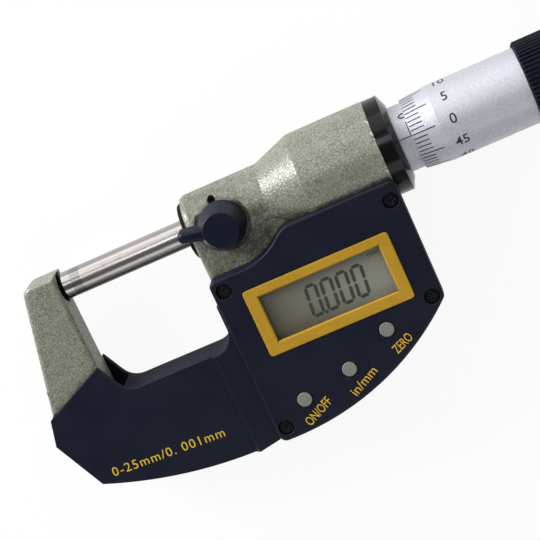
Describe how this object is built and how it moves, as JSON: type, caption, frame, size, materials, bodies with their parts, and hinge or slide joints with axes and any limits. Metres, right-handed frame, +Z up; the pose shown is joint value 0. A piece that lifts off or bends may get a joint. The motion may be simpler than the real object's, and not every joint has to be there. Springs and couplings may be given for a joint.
{
  "type": "digital outside micrometer",
  "caption": "Digital outside micrometer, 0 to 25 mm: cast C-frame with plastic covers, display housing, turning spindle with thimble and ratchet, spindle lock and battery cap.",
  "frame": {"origin": "centre of the anvil's measuring face, where the anvil's axis meets the face", "axes": "+X along the spindle towards the thimble and ratchet, +Y away from the bow, +Z out of the display; it lies on its back with +Z up"},
  "size_m": [0.1556, 0.065, 0.0263],
  "materials": {
    "cast_paint": "grey-green crackle enamel",
    "bare_steel": "machined steel, faces and bores left bare",
    "carbide": "ground and lapped",
    "satin_chrome": "satin",
    "navy_plastic": "fine moulded texture",
    "black_plastic": "smooth",
    "ochre_plastic": "semi-gloss",
    "button_plastic": "smooth",
    "clear_window": "polished",
    "lcd_glass": "semi-gloss grey-green",
    "black_screw": "blackened steel",
    "seal_rubber": "matt",
    "board": "solder resist",
    "brass_parts": "machined",
    "battery_can": "polished"
  },
  "bodies": {
    "frame_group": {"frame": "cast_paint", "anvil": "bare_steel", "anvil_tip": "carbide", "spindle_seal": "seal_rubber", "lock_set_screw": "black_screw", "front_cover": "navy_plastic", "rear_cover": "navy_plastic", "display_housing": "navy_plastic", "display_gasket": "seal_rubber", "bezel": "ochre_plastic", "display_window": "clear_window", "lcd_panel": "lcd_glass", "lcd_connectors": "seal_rubber", "circuit_board": "board", "button_switches": "black_plastic", "housing_screws": "black_screw", "cover_screws": "black_screw", "battery": "battery_can", "battery_contact": "brass_parts", "end_collar": "black_plastic", "guide_sleeve": "bare_steel", "adjusting_nut": "brass_parts", "sleeve": "satin_chrome", "encoder_stator": "board"},
    "rotor": {"encoder_rotor": "black_plastic", "rotor_key": "bare_steel"},
    "spindle_group": {"spindle": "satin_chrome", "spindle_tip": "carbide", "thimble": "satin_chrome", "thimble_grip": "navy_plastic", "ratchet_wheel": "bare_steel", "ratchet_screw": "satin_chrome"},
    "ratchet": {"ratchet_knob": "satin_chrome", "ratchet_pawl": "bare_steel", "ratchet_spring": "bare_steel"},
    "lever": {"lock_lever": "navy_plastic", "lock_pin": "bare_steel"},
    "plunger": {"lock_plunger": "brass_parts"},
    "power_key": {"power_button": "button_plastic"},
    "unit_key": {"unit_button": "button_plastic"},
    "zero_key": {"zero_button": "button_plastic"},
    "cap": {"battery_cap": "navy_plastic", "battery_seal": "seal_rubber"}
  },
  "joints": [
    {"name": "spindle_turn", "type": "hinge", "parent": "frame_group", "child": "rotor", "pos_m": [0, 0, 0], "axis": [1, 0, 0], "range_deg": [0, 18001]},
    {"name": "spindle_travel", "type": "slide", "parent": "rotor", "child": "spindle_group", "axis": [1, 0, 0], "range_m": [0, 0.025]},
    {"name": "ratchet_turn", "type": "hinge", "parent": "spindle_group", "child": "ratchet", "pos_m": [0.129, 0, 0], "axis": [1, 0, 0], "continuous": true},
    {"name": "lock_turn", "type": "hinge", "parent": "frame_group", "child": "lever", "pos_m": [0.0376, 0, 0.01], "axis": [0, 0, 1], "range_deg": [-60.1, 0]},
    {"name": "lock_press", "type": "slide", "parent": "frame_group", "child": "plunger", "axis": [0, 0, -1], "range_m": [0, 0.0001166]},
    {"name": "battery_cap_turn", "type": "hinge", "parent": "frame_group", "child": "cap", "pos_m": [0.057, -0.0275, -0.009], "axis": [0, 0, 1], "range_deg": [0, 60]},
    {"name": "power_press", "type": "slide", "parent": "frame_group", "child": "power_key", "axis": [0, 0, -1], "range_m": [0, 0.0005], "stiffness_N_per_m": 600},
    {"name": "unit_press", "type": "slide", "parent": "frame_group", "child": "unit_key", "axis": [0, 0, -1], "range_m": [0, 0.0005], "stiffness_N_per_m": 600},
    {"name": "zero_press", "type": "slide", "parent": "frame_group", "child": "zero_key", "axis": [0, 0, -1], "range_m": [0, 0.0005], "stiffness_N_per_m": 600}
  ],
  "couplings": [
    {"joint": "spindle_turn", "follows": "spindle_travel", "rad_per_m": 12566},
    {"joint": "lock_turn", "follows": "lock_press", "rad_per_m": -8976}
  ]
}
